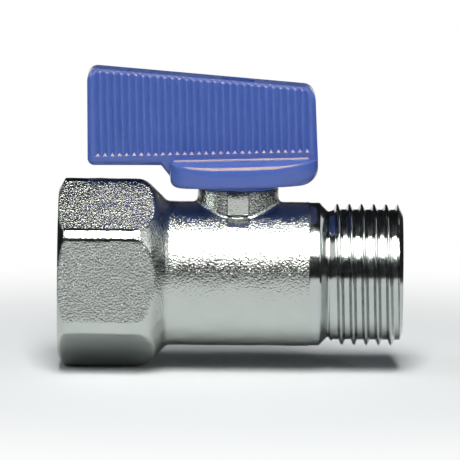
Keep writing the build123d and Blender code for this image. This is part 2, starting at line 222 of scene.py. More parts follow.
# %% Sheets of the studio
def plain_material(name, colour, roughness):
    """A stage material of one colour."""
    material = bpy.data.materials.new(name)
    material.use_nodes = True
    shader = material.node_tree.nodes["Principled BSDF"]
    shader.inputs["Base Color"].default_value = (*colour, 1)
    shader.inputs["Roughness"].default_value = roughness
    return material


def stage_sheet(name, corners_mm, material):
    """A flat four-cornered sheet of the studio, not part of the valve."""
    sheet = mesh_piece(name, np.array(corners_mm, float), [[[0, 1, 2, 3]]], [material])
    return sheet


floor_z = cad_low.z / MM
pale_floor = plain_material("pale_floor", (0.84, 0.87, 0.89), 0.7)
print("floor at z", round(floor_z, 2), "mm")


# %% Pale floor, white far from the valve
def white_seen(tree):
    """1 for rays from the camera, a reflection or through glass, and 0 for light that falls on things."""
    rays = tree.nodes.new("ShaderNodeLightPath")
    seen = rays.outputs["Is Camera Ray"]
    for kind in ("Is Glossy Ray", "Is Transmission Ray"):
        either = tree.nodes.new("ShaderNodeMath")
        either.operation = "MAXIMUM"
        tree.links.new(seen, either.inputs[0])
        tree.links.new(rays.outputs[kind], either.inputs[1])
        seen = either.outputs[0]
    return seen


CLEAR_RADIUS, WHITE_RADIUS = 50.0, 130.0
wiring = pale_floor.node_tree
place_node = wiring.nodes.new("ShaderNodeTexCoord")
from_valve = wiring.nodes.new("ShaderNodeVectorMath")
from_valve.operation = "DISTANCE"
from_valve.inputs[1].default_value = (stem_x * MM, 0, floor_z * MM)
wiring.links.new(place_node.outputs["Object"], from_valve.inputs[0])
far_share = wiring.nodes.new("ShaderNodeMapRange")
far_share.interpolation_type = "SMOOTHSTEP"
far_share.inputs["From Min"].default_value = CLEAR_RADIUS * MM
far_share.inputs["From Max"].default_value = WHITE_RADIUS * MM
wiring.links.new(from_valve.outputs["Value"], far_share.inputs["Value"])
far_seen = wiring.nodes.new("ShaderNodeMath")
far_seen.operation = "MULTIPLY"
wiring.links.new(far_share.outputs["Result"], far_seen.inputs[0])
wiring.links.new(white_seen(wiring), far_seen.inputs[1])
white_glow = wiring.nodes.new("ShaderNodeEmission")
floor_mix = wiring.nodes.new("ShaderNodeMixShader")
wiring.links.new(far_seen.outputs[0], floor_mix.inputs[0])
wiring.links.new(wiring.nodes["Principled BSDF"].outputs[0], floor_mix.inputs[1])
wiring.links.new(white_glow.outputs[0], floor_mix.inputs[2])
wiring.links.new(floor_mix.outputs[0], wiring.nodes["Material Output"].inputs["Surface"])
FLOOR_HALF = 6000
floor_corners = [(x * FLOOR_HALF, y * FLOOR_HALF, floor_z) for x, y in ((-1, -1), (1, -1), (1, 1), (-1, 1))]
stage_sheet("floor", floor_corners, pale_floor)
print("floor is white from", WHITE_RADIUS, "mm out")

# %% [markdown]
# ## Studio: dark cards
#
# Bare metal in an all-white room would look white all over. Photographers stand dark cards around it, and
# they show in the metal as the dark bands above and below the softbox and on the faces that look
# sideways. The cards are hidden from the camera and cast no shadow.

# %% Dark cards
dark_card = plain_material("dark_card", (0.01, 0.012, 0.016), 0.9)


def upright(start, stop, low, high):
    """Corners of an upright sheet between two places on the floor plan and two heights."""
    return [(*start, low), (*stop, low), (*stop, high), (*start, high)]


dark_cards = {
    "front_card": upright((-2200, -1500), (2200, -1500), floor_z + 5, 1240),
    "back_card": upright((-1500, 1800), (1500, 1800), 100, 1500),
    "left_card": upright((-90, -150), (-90, 350), floor_z + 1, 55),
    "right_card": upright((130, -150), (130, 350), floor_z + 1, 45),
    "top_card": [(-1500, -450, 1500), (1500, -450, 1500), (1500, 1800, 1500), (-1500, 1800, 1500)],
}
for card_name, corners in dark_cards.items():
    card = stage_sheet(card_name, corners, dark_card)
    card.visible_camera = False
    card.visible_shadow = False
print("dark cards", len(dark_cards))

# %% [markdown]
# ## Studio: the world
#
# The world is white to the camera and in reflections. As a light it is only a weak, cool fill, so that
# the softbox models the shapes.


# %% World
def blend_colours(tree, value, first, second):
    """Mixes two colours by a value from 0 to 1."""
    node = tree.nodes.new("ShaderNodeMix")
    node.data_type = "RGBA"
    node.inputs["A"].default_value = (*first, 1)
    node.inputs["B"].default_value = (*second, 1)
    tree.links.new(value, node.inputs["Factor"])
    return node.outputs["Result"]


world = bpy.data.worlds.new("studio_world")
bpy.context.scene.world = world
world.use_nodes = True
wiring = world.node_tree
background = wiring.nodes["Background"]
WORLD_FILL = 0.11
white_share = white_seen(wiring)
wiring.links.new(blend_colours(wiring, white_share, (0.6, 0.82, 1.0), (1, 1, 1)), background.inputs["Color"])
level = wiring.nodes.new("ShaderNodeMapRange")
level.inputs["To Min"].default_value = WORLD_FILL
level.inputs["To Max"].default_value = 1.0
wiring.links.new(white_share, level.inputs["Value"])
wiring.links.new(level.outputs["Result"], background.inputs["Strength"])
bpy.context.scene.view_settings.view_transform = "Standard"
print("fill light", WORLD_FILL)

# %% [markdown]
# ## Finishes
#
# Each finish is a small network of nodes that reads Object coordinates, so it stays on the piece as it
# turns. The forging was blasted with grit before plating: its skin is a bed of shallow dents a third of a
# millimetre across. Turned faces carry fine rings instead. The handle is moulded plastic with a faint
# satin grain.


# %% A finish and its patterns
def finish(name, colour, metallic, roughness):
    """A new node material, with its shader, its node tree and an Object-coordinate output."""
    material = bpy.data.materials.new(name)
    material.use_nodes = True
    tree = material.node_tree
    shader = tree.nodes["Principled BSDF"]
    shader.inputs["Base Color"].default_value = (*colour, 1)
    shader.inputs["Metallic"].default_value = metallic
    shader.inputs["Roughness"].default_value = roughness
    spot = tree.nodes.new("ShaderNodeTexCoord").outputs["Object"]
    return material, tree, shader, spot


def noise(tree, spot, size_mm, detail=2.0, rough=0.5):
    """Cloudy noise whose lumps are about size_mm across."""
    node = tree.nodes.new("ShaderNodeTexNoise")
    node.inputs["Scale"].default_value = 1 / (size_mm * MM)
    node.inputs["Detail"].default_value = detail
    node.inputs["Roughness"].default_value = rough
    tree.links.new(spot, node.inputs["Vector"])
    return node.outputs["Fac"]


def cells(tree, spot, size_mm):
    """Distance to the nearest of scattered points about size_mm apart: as a height, round dents."""
    node = tree.nodes.new("ShaderNodeTexVoronoi")
    node.inputs["Scale"].default_value = 1 / (size_mm * MM)
    tree.links.new(spot, node.inputs["Vector"])
    return node.outputs["Distance"]


print("materials before the finishes", len(bpy.data.materials))


# %% Gloss and dents
def ramp(tree, value, to_low, to_high, low=0.3, high=0.7):
    """Maps a value to another range, held at the ends. Noise seldom leaves the range 0.3 to 0.7."""
    node = tree.nodes.new("ShaderNodeMapRange")
    for key, number in zip(("From Min", "From Max", "To Min", "To Max"), (low, high, to_low, to_high)):
        node.inputs[key].default_value = number
    tree.links.new(value, node.inputs["Value"])
    return node.outputs["Result"]


def dent(tree, shader, height, depth_mm, under=None):
    """A bump of a given depth from a height of 0 to 1, laid over another bump if one is given."""
    node = tree.nodes.new("ShaderNodeBump")
    node.inputs["Distance"].default_value = depth_mm * MM
    tree.links.new(height, node.inputs["Height"])
    if under is not None:
        tree.links.new(under, node.inputs["Normal"])
    tree.links.new(node.outputs["Normal"], shader.inputs["Normal"])
    return node.outputs["Normal"]


# %% Nickel, as blasted
blasted_nickel, tree, shader, spot = finish("blasted_nickel", (0.485, 0.515, 0.485), 1.0, 0.2)
grit = noise(tree, spot, 0.32, detail=3.0, rough=0.55)
tree.links.new(ramp(tree, grit, 0.08, 0.18), shader.inputs["Roughness"])
tree.links.new(
    blend_colours(tree, noise(tree, spot, 3.0), (0.45, 0.48, 0.45), (0.52, 0.55, 0.52)),
    shader.inputs["Base Color"],
)
grain = tree.nodes.new("ShaderNodeAttribute")
grain.attribute_name = "grain"
pits = dent(tree, shader, cells(tree, spot, 0.3), 0.075)
dent(tree, shader, grit, 0.21, pits)
for node in tree.nodes:
    if node.type == "BUMP":
        tree.links.new(grain.outputs["Fac"], node.inputs["Strength"])
print("blasted nickel", len(tree.nodes), "nodes")

# %% [markdown]
# ## Finish: turned nickel
#
# The band and the male thread are cut on a lathe before plating. A noise that reads only the place along
# the pipe makes rings round it, and patches of slightly different gloss keep it from looking drawn.

# %% Nickel, as turned
turned_nickel, tree, shader, spot = finish("turned_nickel", (0.475, 0.505, 0.49), 1.0, 0.15)
apart = tree.nodes.new("ShaderNodeSeparateXYZ")
tree.links.new(spot, apart.inputs["Vector"])
along_only = tree.nodes.new("ShaderNodeCombineXYZ")
tree.links.new(apart.outputs["X"], along_only.inputs["X"])
lathe_rings = noise(tree, along_only.outputs["Vector"], 0.12, detail=1.0)
dent(tree, shader, lathe_rings, 0.006)
tree.links.new(ramp(tree, noise(tree, spot, 1.2), 0.1, 0.18, 0.35, 0.65), shader.inputs["Roughness"])
print("turned nickel", len(tree.nodes), "nodes")

# %% [markdown]
# ## Finish: handle plastic
#
# The plastic lets light in a little way, which evens out its shallow grooves; subsurface scattering does
# the same. Its glints are tan rather than white in the photograph, and the shader's specular tint gives
# them that colour.

# %% Handle plastic
handle_blue, tree, shader, spot = finish("handle_blue", (0.076, 0.14, 0.44), 0.0, 0.2)
satin = noise(tree, spot, 0.25, detail=2.0)
tree.links.new(
    blend_colours(tree, noise(tree, spot, 4.0, detail=3.0), (0.07, 0.131, 0.42), (0.082, 0.149, 0.465)),
    shader.inputs["Base Color"],
)
tree.links.new(ramp(tree, satin, 0.15, 0.24), shader.inputs["Roughness"])
shader.inputs["Specular Tint"].default_value = (1.0, 0.64, 0.05, 1)
shader.inputs["Specular IOR Level"].default_value = 0.45
shader.inputs["Subsurface Weight"].default_value = 0.5
shader.inputs["Subsurface Radius"].default_value = (0.6, 0.7, 1.0)
shader.inputs["Subsurface Scale"].default_value = 0.4 * MM
dent(tree, shader, satin, 0.004)
print("handle plastic", len(tree.nodes), "nodes")

# %% [markdown]
# ## Finishes of the inner pieces
#
# The solids inside are right as they are, so they keep their meshes and only get a finish. Brass, chrome
# and zinc vary in gloss, and the moulded seats and rubber rings have a faint bump.

# %% Brass, chrome, sealing plastic, rubber and steel for the inner pieces
# Each row: colour, metallic, roughness, gloss patches (size, from, to), bump (size, depth), pieces
inner_finishes = {
    "turned_brass": ((0.78, 0.57, 0.26), 1.0, 0.25, (0.8, 0.2, 0.34), (0.15, 0.006), "seat_retainer stem"),
    "chrome_ball": ((0.8, 0.81, 0.82), 1.0, 0.06, (2.0, 0.04, 0.1), None, "ball"),
    "seat_white": (
        (0.86, 0.86, 0.83), 0.0, 0.5, None, (0.4, 0.01), "inlet_seat outlet_seat stem_thrust_washer"
    ),
    "seal_black": ((0.02, 0.02, 0.02), 0.0, 0.55, None, (0.2, 0.01), "stem_lower_o_ring stem_upper_o_ring"),
    "screw_zinc": ((0.6, 0.61, 0.63), 1.0, 0.3, (0.5, 0.22, 0.4), None, "handle_screw"),
}
for finish_name, (colour, metallic, roughness, gloss, bump, pieces) in inner_finishes.items():
    material, tree, shader, spot = finish(finish_name, colour, metallic, roughness)
    if gloss:
        patches = ramp(tree, noise(tree, spot, gloss[0]), *gloss[1:])
        tree.links.new(patches, shader.inputs["Roughness"])
    if bump:
        dent(tree, shader, noise(tree, spot, bump[0]), bump[1])
    for node_name in pieces.split():
        nodes[node_name].data.materials.clear()
        nodes[node_name].data.materials.append(material)
    print(finish_name, "on", pieces)

# %% [markdown]
# ## Body: the outside as one turned surface
#
# On the real valve the hexagon, the cone behind it and the barrel are forged in one blow, and the male
# end is turned. The outside is a distance from the pipe axis that depends on the place along the pipe and
# the angle round it. Hexagon, chamfer and cone each give a distance, and the smallest one wins, but never
# less than the barrel. The soft minimum rounds the edge between two forms.

# %% Sizes of the body, in millimetres
BODY_LENGTH = 51.1
THREAD_MAJOR_R = 10.4775
THREAD_MINOR_R = 9.3155
THREAD_PITCH = 1.814
BARREL_R = THREAD_MAJOR_R + 0.22
BAND_R = BARREL_R - 0.08
BAND_START, BAND_END = 37.25, 38.75
HEX_FLAT = 12.5
HEX_CORNER_R = 2.2
SHOULDER_BLEND_R = 4.0
HEX_END_R = 12.4
SHOULDER_X = 16.15
HALF_CONE = math.radians(22.5)
CORNER_STEPS = (0.76, 1.52, 2.28, 3.04, 3.8, 4.56, 5.4, 6.6)
half_sixth = np.concatenate([CORNER_STEPS, np.linspace(6.6, 30.0, 8)[1:-1]])
one_sixth = np.concatenate([[0.0], half_sixth, [30.0], 60.0 - half_sixth[::-1]])
angle = np.radians(np.concatenate([sixth * 60 + one_sixth for sixth in range(6)]))
COLUMNS = len(angle)
print("columns", COLUMNS)


# %% Hexagon and shoulder
def hexagon_reach(angle):
    """Distance from the axis to a hexagon with rounded corners. Angle 0 is straight down, where a corner is.
    Near a corner it is the far side of a circle. Elsewhere it is the flat's distance over the cosine of the
    angle to the flat's middle."""
    sixth = np.pi / 6
    off = np.abs((angle + sixth) % (2 * sixth) - sixth)
    middle = (HEX_FLAT - HEX_CORNER_R) / math.cos(sixth)
    tangent = math.atan2(HEX_CORNER_R * 0.5, middle + HEX_CORNER_R * math.cos(sixth))
    inside = np.maximum(HEX_CORNER_R**2 - (middle * np.sin(off)) ** 2, 0)
    return np.where(off < tangent, middle * np.cos(off) + np.sqrt(inside), HEX_FLAT / np.cos(sixth - off))


def shoulder_reach(x):
    """Distance from the axis to the turned shoulder behind the hexagon: level with the corners, then a round,
    then a 45-degree cone that ends at the barrel."""
    corner = hexagon_reach(np.zeros(1))[0]
    round_start = SHOULDER_X - (corner - BARREL_R) - SHOULDER_BLEND_R * math.tan(HALF_CONE)
    past = np.clip(x - round_start, 0, SHOULDER_BLEND_R * math.sin(2 * HALF_CONE))
    arc = corner - SHOULDER_BLEND_R + np.sqrt(SHOULDER_BLEND_R**2 - past**2)
    return np.minimum(arc, np.maximum(BARREL_R + SHOULDER_X - x, BARREL_R - 1))


print("corner reach", round(float(hexagon_reach(np.zeros(1))[0]), 3), "mm")

# %% [markdown]
# ## Body: the pipe threads
#
# A half-inch pipe thread has a ridge every 1.814 mm, right-handed. On this valve the ridges are narrow at
# the crest and stand on a broad root, and they are lower than a gauge's. A screw modifier could sweep
# one, but then it would have to be cut into the body. Here the thread is a height that repeats along the
# pipe and shifts by one pitch per turn, so it grows out of the same surface with no seam.

# %% Thread profile
FLANK = math.radians(27.5)
THREAD_DEPTH = 0.8
CREST_HALF = 0.12
CREST_SOFT, ROOT_SOFT = 0.22, 0.16


def thread_height(x, angle, first_crest):
    """Height of a right-hand ridge above the thread's root. The distance from the nearest crest gives a
    narrow crest, a straight flank and a broad level root, joined by soft edges."""
    turn = (x - first_crest) / THREAD_PITCH - (np.pi - angle) / (2 * np.pi)
    from_crest = np.abs(turn - np.round(turn)) * THREAD_PITCH
    flank = THREAD_DEPTH - (from_crest - CREST_HALF) / math.tan(FLANK)
    return soft_max(soft_min(flank, THREAD_DEPTH, CREST_SOFT), 0.0, ROOT_SOFT)


across_pitch = thread_height(np.linspace(0, THREAD_PITCH, 50), np.pi, 0.0)
print("ridge from", round(across_pitch.min(), 3), "to", round(across_pitch.max(), 3), "mm above the root")

# %% [markdown]
# ## Body: bore, boss and closing the shell
#
# The inside is the same kind of surface with the rows running back, so the two ends close as flat rings.
# The boss rises from the barrel, and boring it links the outside to the inside. A window of quads is left
# out of each surface, and rings turn from the outer window's rectangle into the boss's foot, climb the
# wall, cross the top and run down the stem bore to the inner window. A Boolean could join them, but rings
# give a clean rounded foot.

# %% Outer rows
LEAD_LENGTH, LEAD_DROP = 0.75, 1.5
FIRST_CREST = 41.33
CHAMFER_END, FLAT_END, CONE_END = 1.8, 11.4, 17.4
THREAD_ROWS_FROM = 40.4
THREAD_GROWS = (39.9, 41.2)
END_CHAMFER = math.radians(30)
window_half = 7.6
window_rows = 38
window_low, window_high = stem_x - window_half, stem_x + window_half
outer_x = np.concatenate(
    [
        np.linspace(0, CHAMFER_END, 13),
        np.linspace(CHAMFER_END, FLAT_END, 25)[1:],
        np.linspace(FLAT_END, CONE_END, 37)[1:],
        np.linspace(CONE_END, window_low, 5)[1:],
        np.linspace(window_low, window_high, window_rows + 1)[1:],
        np.linspace(window_high, BAND_START - 0.15, 8)[1:],
        BAND_START + np.array([-0.07, -0.03, 0.01, 0.05, 0.11]),
        np.linspace(BAND_START + 0.25, BAND_END - 0.15, 4),
        np.linspace(BAND_END - 0.09, THREAD_ROWS_FROM, 18),
        np.linspace(THREAD_ROWS_FROM, BODY_LENGTH, 180)[1:],
    ]
)
print("outer rows", len(outer_x))


# %% Reach of the outside
HEX_EDGE_SOFT, BARREL_SOFT, BAND_SOFT, RIDGE_SOFT, LEAD_SOFT = 0.2, 0.5, 0.15, 0.1, 0.12


def outer_reach(x, angle):
    """Distance from the axis to the outside: hexagon, end chamfer and cone by soft minimum, and the barrel
    under them. Then come the turned band, its chamfer, the male thread growing from its root, and the
    lead-in chamfer."""
    end_chamfer = HEX_END_R + x / math.tan(END_CHAMFER)
    reach = soft_min(hexagon_reach(angle), end_chamfer, HEX_EDGE_SOFT)
    reach = soft_min(reach, shoulder_reach(x), HEX_EDGE_SOFT)
    reach = soft_max(reach, BARREL_R, BARREL_SOFT)
    reach = reach - (BARREL_R - BAND_R) * smooth_step(BAND_START - 0.06, BAND_START + 0.04, x)
    reach = soft_min(reach, BAND_R + BAND_END - x, BAND_SOFT)
    grown = smooth_step(*THREAD_GROWS, x)
    root = THREAD_MAJOR_R - THREAD_DEPTH
    ridge = THREAD_MINOR_R + grown * (root - THREAD_MINOR_R + thread_height(x, angle, FIRST_CREST))
    reach = soft_max(reach, ridge, RIDGE_SOFT)
    lead = THREAD_MAJOR_R - LEAD_DROP * (1 - (BODY_LENGTH - x) / LEAD_LENGTH)
    return soft_min(reach, lead, LEAD_SOFT)


outer_r = outer_reach(outer_x[:, None], angle[None, :])
print("outside reaches", round(outer_r.min(), 2), "to", round(outer_r.max(), 2), "mm from the axis")

# %% Inner rows, from the male end back to the female mouth
FEMALE_DEPTH = 13.0
FEMALE_THREAD_FADES = (12.2, 11.0)
SEAT_FRONT, SEAT_BACK = 4.433, 6.933
CAVITY_R = 7.6
RETAINER_FACE = 21.27
OUTLET_R, PORT_R, SEAT_R, RETAINER_R = 5.75, 4.25, 6.85, 8.95
OUTLET_CHAMFER = 0.3
MOUTH_DEPTH = 0.9
MOUTH_R = THREAD_MINOR_R + MOUTH_DEPTH
FEMALE_ROWS = 92
inner_window_half = 4.35
outlet_bore = [(BODY_LENGTH, OUTLET_R + OUTLET_CHAMFER), (BODY_LENGTH - OUTLET_CHAMFER, OUTLET_R)]
outlet_bore += [(44.0, OUTLET_R), (40.6, OUTLET_R), (39.1, PORT_R), (36.0, PORT_R)]
seat_back, seat_front = stem_x + SEAT_BACK, stem_x + SEAT_FRONT
seat_bore = [(seat_back, PORT_R), (seat_back, SEAT_R), (seat_front, SEAT_R), (seat_front, CAVITY_R)]
cavity_x = np.linspace(stem_x + inner_window_half, stem_x - inner_window_half, window_rows + 1)
retainer_bore = [(RETAINER_FACE, CAVITY_R), (RETAINER_FACE, RETAINER_R), (FEMALE_DEPTH, RETAINER_R)]
female_x = np.linspace(FEMALE_DEPTH, MOUTH_DEPTH, FEMALE_ROWS)
mouth = [(MOUTH_DEPTH / 2, THREAD_MINOR_R + MOUTH_DEPTH / 2), (0.0, MOUTH_R)]
bore_rows = np.concatenate(
    [
        outlet_bore,
        seat_bore,
        np.column_stack([cavity_x, np.full(window_rows + 1, CAVITY_R)]),
        retainer_bore,
        np.column_stack([female_x, np.full(FEMALE_ROWS, THREAD_MINOR_R)]),
        mouth,
    ]
)
inner_x, inner_profile = bore_rows.T


def inner_reach(x, profile, angle):
    """Distance from the axis to the bore: the turned profile, with the female thread cut into its wall."""
    cut = THREAD_DEPTH - thread_height(x, angle, FIRST_CREST)
    fade = smooth_step(*FEMALE_THREAD_FADES, x) * (profile >= THREAD_MINOR_R - 0.001)
    return np.maximum(profile, THREAD_MINOR_R * (fade > 0) + fade * cut)


inner_r = inner_reach(inner_x[:, None], inner_profile[:, None], angle[None, :])
print("inner rows", len(inner_x), "reach", round(inner_r.min(), 2), "to", round(inner_r.max(), 2))

# %% Window in the two surfaces
half_columns = 20
first_row = int(np.argmin(np.abs(outer_x - window_low)))
first_inner_row = len(outlet_bore) + len(seat_bore)
first_column = COLUMNS // 2 - half_columns


def window_loop(row_of):
    """Rows and columns of the points round a window, in order. row_of gives the row of each step along x."""
    width = 2 * half_columns
    steps, across = np.arange(window_rows), np.arange(width)
    rows = np.concatenate([steps, np.full(width, window_rows), window_rows - steps, np.zeros(width, int)])
    near, far = np.zeros(window_rows, int), np.full(window_rows, width)
    columns = np.concatenate([near, across, far, width - across])
    return row_of(rows), columns + first_column


def round_pipe(x, reach):
    """Points round the pipe axis, at a place along it for each row and a reach for each row and column."""
    along = np.repeat(x[:, None], COLUMNS, 1)
    return np.stack([along, -reach * np.sin(angle), -reach * np.cos(angle)], axis=-1)


outer_points = round_pipe(outer_x, outer_r)
inner_points = round_pipe(inner_x, inner_r)
outer_loop = window_loop(lambda step: first_row + step)
inner_loop = window_loop(lambda step: first_inner_row + window_rows - step)
edge = outer_points[outer_loop]
bearing = np.arctan2(edge[:, 1], edge[:, 0] - stem_x)
print("window of", len(bearing), "points")

# %% [markdown]
# ## Body: the boss
#
# The boss is a short round post with a rib down its front. Its foot flows into the barrel in a round that
# is wide at the sides and tight in front. Each ring is a distance from the stem axis and a height for
# every bearing round it. Three points beside each edge of the rib are moved to its corners, so that the
# rib's sides come out crisp.

# %% Boss sizes, and bearings round it
BOSS_R = 6.0
FRONT_FOOT, SIDE_FOOT = 0.35, 0.9
BOSS_RIM = 0.12
BOSS_TOP = 12.85
RIB_HALF = 1.5
RIB_FACE = 6.6
RIB_SIDE = np.array([-0.004, 0.062, 0.09])
STEM_BORE_R = 3.03
COLLAR_BORE_R = 4.15
SHOULDER_Z = 8.6
from_front = (bearing + np.pi / 2 + np.pi) % (2 * np.pi) - np.pi
rib_turn = math.asin(RIB_HALF / RIB_FACE)
for side in (-1, 1):
    order = np.argsort(side * from_front)
    past = np.searchsorted(side * from_front[order], rib_turn)
    from_front[order[past - 1 : past + 2]] = side * (rib_turn + RIB_SIDE)
bearing = from_front - np.pi / 2
wall_r = np.where(np.abs(from_front) <= rib_turn, RIB_FACE / np.cos(from_front), BOSS_R)
print("rib spans", round(2 * math.degrees(rib_turn), 1), "degrees")


# %% Boss rings
def on_round(reach, cylinder_r):
    """Height of a cylinder along the pipe, above the point at a given reach from the stem axis."""
    return np.sqrt(cylinder_r**2 - (reach * np.sin(bearing)) ** 2)


def ring(reach, height):
    """Points round the stem axis, at a reach and a height for each bearing."""
    reach, height = np.broadcast_to(reach, bearing.shape), np.broadcast_to(height, bearing.shape)
    return np.stack([stem_x + reach * np.cos(bearing), reach * np.sin(bearing), height], axis=-1)


foot_r = FRONT_FOOT + (SIDE_FOOT - FRONT_FOOT) * np.cos(bearing) ** 2
foot_start = BOSS_R + foot_r
rings = []
for share in (0.35, 0.7):
    flat = edge[:, :2] * (1 - share) + ring(foot_start, 0)[:, :2] * share
    rings.append(np.column_stack([flat, np.sqrt(BARREL_R**2 - flat[:, 1] ** 2)]))
foot_low, foot_high = on_round(foot_start, BARREL_R), on_round(BOSS_R, BARREL_R)
wall_foot = foot_high + foot_r
for share in np.linspace(0, 1, 8):
    reach = BOSS_R + foot_r * (1 - share) ** 2
    height = (1 - share) ** 2 * foot_low + 2 * share * (1 - share) * foot_high + share**2 * wall_foot
    rings.append(ring(reach, height))
rim_foot = BOSS_TOP - BOSS_RIM
for share, swell in ((0.03, 0.7), (0.08, 1.0), (0.33, 1.0), (0.66, 1.0), (1.0, 1.0)):
    rings.append(ring(BOSS_R + swell * (wall_r - BOSS_R), wall_foot * (1 - share) + rim_foot * share))
for turn in np.radians((30, 60, 90)):
    rings.append(ring(wall_r - BOSS_RIM * (1 - math.cos(turn)), rim_foot + BOSS_RIM * math.sin(turn)))
boss_skin_rings = len(rings)
bore_walk = [(4.4, BOSS_TOP), (STEM_BORE_R, BOSS_TOP), (STEM_BORE_R, 10.7), (STEM_BORE_R, SHOULDER_Z)]
for reach, height in bore_walk:
    rings.append(ring(reach, height))
rings.append(ring(COLLAR_BORE_R, SHOULDER_Z))
rings.append(ring(COLLAR_BORE_R, on_round(np.full(bearing.shape, COLLAR_BORE_R), CAVITY_R)))
print("boss rings", len(rings), "of", len(bearing), "points")

# %% [markdown]
# ## Body: one closed skin
#
# All rows and rings are numbered into one list of points, and the two windows' quads are left out. A
# small block on the boss, hidden under the handle, stops it at both ends of its quarter turn, and joins
# the same mesh.

# %% Number the points
TURNED_FROM = BAND_START - 0.1
row_count = len(outer_x) + len(inner_x)
number = np.arange(row_count * COLUMNS).reshape(row_count, COLUMNS)
quads = grid_quads(number, wrap_rows=True, wrap_columns=True)
kept = np.ones(quads.shape[:2], bool)
window_columns = slice(first_column, first_column + 2 * half_columns)
kept[first_row : first_row + window_rows, window_columns] = False
inner_start = len(outer_x) + first_inner_row
kept[inner_start : inner_start + window_rows, window_columns] = False
row_forged = np.zeros(row_count, bool)
row_forged[: len(outer_x)] = outer_x < TURNED_FROM
skin_forged = np.repeat(row_forged[:, None], COLUMNS, 1)[kept]

ring_number = number.size + np.arange(len(rings) * len(bearing)).reshape(len(rings), -1)
outer_edge = number[outer_loop]
inner_edge = number[(inner_loop[0] + len(outer_x), inner_loop[1])]
ring_table = np.vstack([outer_edge, ring_number, inner_edge])
ring_quads = grid_quads(ring_table, wrap_columns=True)
ring_forged = np.repeat(np.arange(len(ring_quads))[:, None] < boss_skin_rings, len(bearing), 1)
print("skin quads", int(kept.sum()), "ring quads", ring_forged.size)

# %% Build the body
STOP_FRONT, STOP_BACK, STOP_TOP, STOP_SUNK = -4.8, -3.6, 14.0, 0.1
stop_low = np.array([stem_x - RIB_HALF, STOP_FRONT, BOSS_TOP - STOP_SUNK])
stop_high = np.array([stem_x + RIB_HALF, STOP_BACK, STOP_TOP])
corner_bits = (np.arange(8)[:, None] >> np.arange(3)) & 1
stop_points = np.where(corner_bits == 1, stop_high, stop_low)
body_points = np.concatenate([outer_points.reshape(-1, 3), inner_points.reshape(-1, 3), *rings, stop_points])
box_sides = np.array([[0, 1, 3, 2], [4, 6, 7, 5], [0, 4, 5, 1], [2, 3, 7, 6], [0, 2, 6, 4], [1, 5, 7, 3]])
body_faces = np.concatenate([quads[kept], ring_quads.reshape(-1, 4), box_sides + len(body_points) - 8])
is_turned = 1 - np.concatenate([skin_forged, ring_forged.ravel(), np.ones(6, bool)]).astype(int)
body = mesh_piece("valve_body_skin", body_points, [body_faces], [blasted_nickel, turned_nickel], is_turned)
BODY_CREASE = 38
face_outwards(body, BODY_CREASE)

# %% [markdown]
# ## Body: how deep the blasting went
#
# The photograph shows coarse grain on the hexagon's upper flats, less on the barrel, and almost none on
# the hexagon's corners, which were rubbed smooth. A number on every point, read by the finish, sets that
# depth.

# %% Grain
CORNER_GRAIN, CONE_GRAIN, RIB_GRAIN, BARREL_GRAIN = 0.08, 0.35, 0.13, 0.45
UPPER_FLAT_GRAIN, FLAT_GRAIN = 1.0, 0.64
CORNER_FADES = (4.0, 5.2)
sixth_turn = np.pi / 3
from_corner = np.degrees(np.abs((angle + sixth_turn / 2) % sixth_turn - sixth_turn / 2))[None, :]
x_rows = outer_x[:, None]
full_grain = np.where(np.cos(angle) < -0.5, UPPER_FLAT_GRAIN, FLAT_GRAIN)[None, :]
flat_grain = CORNER_GRAIN + (full_grain - CORNER_GRAIN) * smooth_step(*CORNER_FADES, from_corner)
cone_gap = hexagon_reach(angle)[None, :] - shoulder_reach(x_rows)
flat_grain = flat_grain + (CONE_GRAIN - flat_grain) * smooth_step(-0.15, 0.15, cone_gap)
end_gap = hexagon_reach(angle)[None, :] - (HEX_END_R + x_rows / math.tan(END_CHAMFER))
flat_grain = flat_grain + (CORNER_GRAIN - flat_grain) * smooth_step(0.12, 0.3, end_gap)
on_barrel = smooth_step(SHOULDER_X - 0.3, SHOULDER_X + 0.3, x_rows)
skin_grain = flat_grain + (BARREL_GRAIN - flat_grain) * on_barrel
one_ring_grain = np.where(np.abs(from_front) <= rib_turn, RIB_GRAIN, BARREL_GRAIN)
ring_grain = np.tile(one_ring_grain, len(rings))
inner_grain, stop_grain = np.zeros(inner_points.size // 3), np.full(8, RIB_GRAIN)
grain_values = np.concatenate([skin_grain.ravel(), inner_grain, ring_grain, stop_grain])
grain_store = body.data.attributes.new("grain", "FLOAT", "POINT")
grain_store.data.foreach_set("value", grain_values.astype(np.float32))
print("grain from", grain_values.min(), "to", grain_values.max())

# %% [markdown]
# ## Body: forged unevenness
#
# Forged faces are never quite true. The forged part is pushed in and out by a few hundredths of a
# millimetre along its own normals, by a sum of sine waves, which unlike a Displace modifier needs no
# texture.

# %% Forged unevenness
WAVES, WAVE_DEPTH, WAVE_LENGTHS = 40, 0.022, (1.2, 5.0)
WAVES_BEGIN, WAVES_END = (0.9, 1.8), (37.0, 36.0)
rng = np.random.default_rng(7)


def forged_waves(points, waves, shortest_mm, longest_mm):
    """A sum of sine waves with random directions and phases, in the range -1 to 1 or so."""
    lengths = rng.uniform(shortest_mm, longest_mm, waves)
    directions = rng.normal(size=(waves, 3))
    directions /= np.linalg.norm(directions, axis=1)[:, None]
    phases = rng.uniform(0, 2 * np.pi, waves)
    steps = directions * (2 * np.pi / lengths)[:, None]
    return np.sin(points @ steps.T + phases).sum(1) / math.sqrt(waves)


